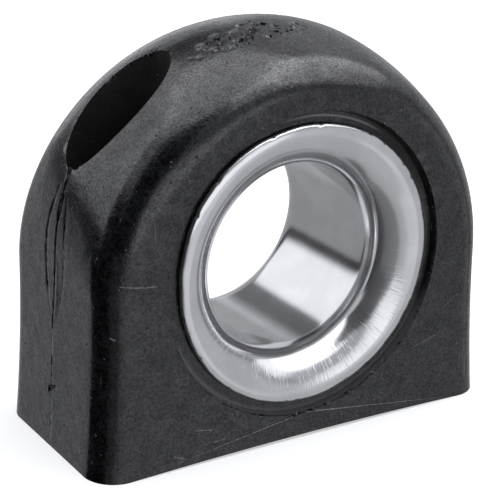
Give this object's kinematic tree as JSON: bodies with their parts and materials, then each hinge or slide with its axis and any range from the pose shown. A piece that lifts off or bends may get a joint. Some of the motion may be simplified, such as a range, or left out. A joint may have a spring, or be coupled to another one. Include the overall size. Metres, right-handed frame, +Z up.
{
  "type": "rope fairlead eye",
  "caption": "Upright rope fairlead eye: black moulded plastic block with an arched top, a flared steel liner in its eye and vertical screw holes in both shoulders.",
  "frame": {"origin": "centre of the base, on the deck face", "axes": "+X along the width through both screws, +Y along the eye from front to back, +Z up from the deck"},
  "size_m": [0.047, 0.022, 0.0418],
  "materials": {
    "body": "as moulded, finely grained, slightly scuffed",
    "liner": "polished stainless steel with fine radial scratches"
  },
  "bodies": {
    "root": {"body": "body", "liner": "liner"}
  },
  "joints": []
}
